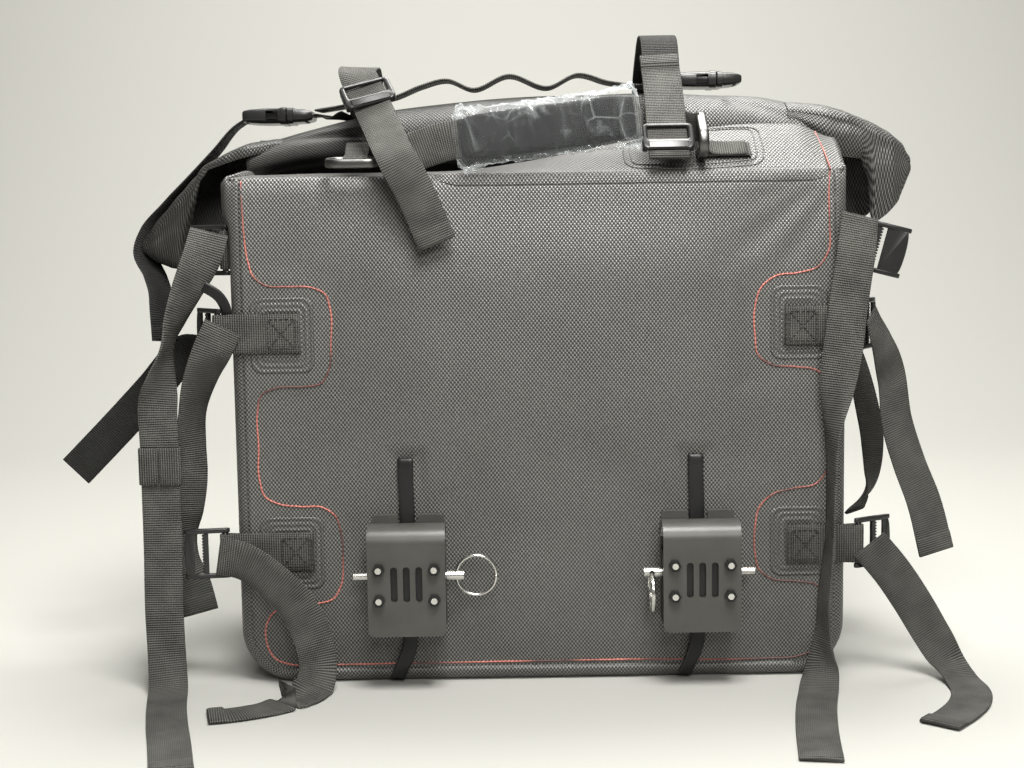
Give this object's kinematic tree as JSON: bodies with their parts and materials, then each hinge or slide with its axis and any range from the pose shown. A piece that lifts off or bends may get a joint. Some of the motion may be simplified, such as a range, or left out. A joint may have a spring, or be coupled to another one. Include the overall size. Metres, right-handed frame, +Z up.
{
  "type": "motorcycle saddlebag",
  "caption": "Soft roll-top motorcycle pannier with rack hooks and pull pins on its bike side, cinch straps, ladder locks and a padded carry handle.",
  "frame": {"origin": "centre of the base, on the surface it stands on", "axes": "+Z up, -Y the bike side with the rack hooks, +X to the right seen from the bike side"},
  "size_m": [0.6212, 0.3666, 0.4287],
  "materials": {
    "shell_fabric": "coated dobby weave, satin",
    "liner_film": "thin coated film",
    "board": "matt",
    "piping": "stitched coral-red cord, worn",
    "patch_fabric": "welded coated fabric, satin",
    "webbing": "ribbed webbing, matt",
    "grip_foam": "padded sleeve, matt",
    "buckle_plastic": "satin",
    "mount_plastic": "fine grain, matt",
    "block_plastic": "light grey, matt",
    "steel": "polished",
    "dark_metal": "satin black",
    "rubber": "matt"
  },
  "bodies": {
    "bag": {"backing_plates": "mount_plastic", "base_board": "board", "base_plates": "mount_plastic", "base_screws": "steel", "bike_side_board": "board", "cinch_anchors": "webbing", "clamp_blocks": "block_plastic", "front_panel": "shell_fabric", "front_piping": "piping", "gusset_base": "shell_fabric", "gusset_left": "shell_fabric", "gusset_right": "shell_fabric", "handle_tabs": "webbing", "hook_bolts": "steel", "hook_plate_left": "mount_plastic", "hook_plate_right": "mount_plastic", "hook_sleeves": "block_plastic", "liner": "liner_film", "long_strap_left": "webbing", "long_strap_right": "webbing", "outer_panel": "shell_fabric", "outer_straps": "webbing", "rear_tails": "webbing", "strap_patches": "patch_fabric", "tab_lower_left": "webbing", "tab_lower_right": "webbing", "tab_upper_left": "webbing", "tab_upper_right": "webbing", "tie_straps": "rubber"},
    "roll": {"roll_top": "shell_fabric", "roll_strip": "board", "daisy_chain": "webbing", "roll_buckle_left_plug": "buckle_plastic", "roll_buckle_right_socket": "buckle_plastic", "over_strap_left": "webbing", "over_strap_right": "webbing", "roll_tail_left": "webbing"},
    "roll_buckle_left": {"roll_buckle_left_socket": "buckle_plastic"},
    "roll_buckle_right": {"roll_buckle_right_plug": "buckle_plastic"},
    "left_triglide": {"triglide_left": "buckle_plastic"},
    "right_triglide": {"triglide_right": "buckle_plastic"},
    "handle": {"handle_grip": "grip_foam", "handle_webbing": "webbing"},
    "left_handle_ring": {"handle_ring_left": "dark_metal"},
    "right_handle_ring": {"handle_ring_right": "dark_metal"},
    "upper_left_lock": {"ladder_lock_upper_left": "buckle_plastic", "tail_upper_left": "webbing"},
    "lower_left_lock": {"ladder_lock_lower_left": "buckle_plastic", "tail_lower_left": "webbing"},
    "upper_right_lock": {"ladder_lock_upper_right": "buckle_plastic", "tail_upper_right": "webbing"},
    "lower_right_lock": {"ladder_lock_lower_right": "buckle_plastic", "tail_lower_right": "webbing"},
    "left_cinch": {"cinch_buckle_left": "buckle_plastic"},
    "right_cinch": {"cinch_buckle_right": "buckle_plastic"},
    "keeper": {"strap_keeper": "webbing"},
    "left_pin": {"pull_pin_left": "steel"},
    "right_pin": {"pull_pin_right": "steel"},
    "left_ring": {"split_ring_left": "steel"},
    "right_ring": {"split_ring_right": "steel"}
  },
  "joints": [
    {"name": "roll_open", "type": "hinge", "parent": "bag", "child": "roll", "pos_m": [0, 0.048, 0.35], "axis": [-1, 0, 0], "range_deg": [0, 100]},
    {"name": "roll_buckle_left_release", "type": "slide", "parent": "roll", "child": "roll_buckle_left", "axis": [-1, 0, 0], "range_m": [0, 0.025]},
    {"name": "roll_buckle_right_release", "type": "slide", "parent": "roll", "child": "roll_buckle_right", "axis": [1, 0, 0], "range_m": [0, 0.025]},
    {"name": "triglide_left_slide", "type": "slide", "parent": "roll", "child": "left_triglide", "axis": [0.3358, -0.6485, -0.6832], "range_m": [0, 0.02]},
    {"name": "triglide_right_slide", "type": "slide", "parent": "roll", "child": "right_triglide", "axis": [0, 0.6389, 0.7693], "range_m": [0, 0.02]},
    {"name": "handle_swing", "type": "hinge", "parent": "bag", "child": "handle", "pos_m": [0.009, -0.0945, 0.345], "axis": [0.9935, 0, 0.1142], "range_deg": [0, 65]},
    {"name": "handle_ring_left_swing", "type": "hinge", "parent": "bag", "child": "left_handle_ring", "pos_m": [-0.117, -0.09239, 0.34292], "axis": [1, 0, 0], "range_deg": [-10, 28]},
    {"name": "handle_ring_right_swing", "type": "hinge", "parent": "bag", "child": "right_handle_ring", "pos_m": [0.107, -0.08272, 0.35002], "axis": [0, 0.8064, 0.5914], "range_deg": [0, 60]},
    {"name": "lock_upper_left_turn", "type": "hinge", "parent": "bag", "child": "upper_left_lock", "pos_m": [-0.2075, -0.102, 0.233], "axis": [0, 0, 1], "range_deg": [-8, 8]},
    {"name": "lock_lower_left_turn", "type": "hinge", "parent": "bag", "child": "lower_left_lock", "pos_m": [-0.2075, -0.102, 0.0895], "axis": [0, 0, 1], "range_deg": [-8, 0]},
    {"name": "lock_upper_right_turn", "type": "hinge", "parent": "bag", "child": "upper_right_lock", "pos_m": [0.2075, -0.102, 0.233], "axis": [0, 0, 1], "range_deg": [-8, 8]},
    {"name": "lock_lower_right_turn", "type": "hinge", "parent": "bag", "child": "lower_right_lock", "pos_m": [0.2075, -0.102, 0.0895], "axis": [0, 0, 1], "range_deg": [-4, 10]},
    {"name": "cinch_left_turn", "type": "hinge", "parent": "bag", "child": "left_cinch", "pos_m": [-0.2042, -0.085, 0.287], "axis": [0, 0, 1], "range_deg": [-15, 15]},
    {"name": "cinch_right_turn", "type": "hinge", "parent": "bag", "child": "right_cinch", "pos_m": [0.2042, -0.085, 0.287], "axis": [0, 0, 1], "range_deg": [-15, 25]},
    {"name": "keeper_slide", "type": "slide", "parent": "bag", "child": "keeper", "axis": [0, 0, 1], "range_m": [-0.035, 0.02]},
    {"name": "pin_left_pull", "type": "slide", "parent": "bag", "child": "left_pin", "axis": [1, 0, 0], "range_m": [0, 0.036]},
    {"name": "pin_right_pull", "type": "slide", "parent": "bag", "child": "right_pin", "axis": [-1, 0, 0], "range_m": [0, 0.036]},
    {"name": "split_ring_left_swing", "type": "hinge", "parent": "left_pin", "child": "left_ring", "pos_m": [-0.056, -0.1167, 0.0755], "axis": [0, 0, 1], "range_deg": [-90, 25]},
    {"name": "split_ring_right_swing", "type": "hinge", "parent": "right_pin", "child": "right_ring", "pos_m": [0.0705, -0.1167, 0.0755], "axis": [0, 1, 0], "range_deg": [-5, 80]}
  ]
}
